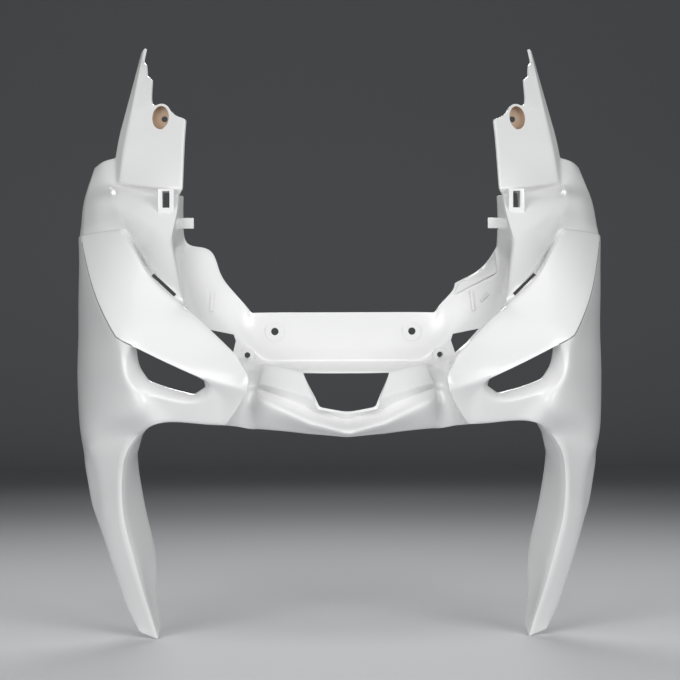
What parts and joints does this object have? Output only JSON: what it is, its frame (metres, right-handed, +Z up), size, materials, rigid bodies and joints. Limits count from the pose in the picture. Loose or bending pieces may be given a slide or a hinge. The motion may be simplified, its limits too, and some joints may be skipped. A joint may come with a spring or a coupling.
{
  "type": "scooter front spoiler",
  "caption": "Glossy white moulded front spoiler for a scooter, with a V-lipped nose, vents under swept brows, upright arms and long legs around the wheel gap.",
  "frame": {"origin": "midway between the two bolt holes of the crossbar, on the crossbar's front face", "axes": "+Z up, -Y to the front of the scooter, +X to the right as seen from the front"},
  "size_m": [0.4829, 0.2623, 0.5324],
  "materials": {
    "white_plastic": "gloss"
  },
  "bodies": {
    "root": {"front_spoiler": "white_plastic"}
  },
  "joints": []
}
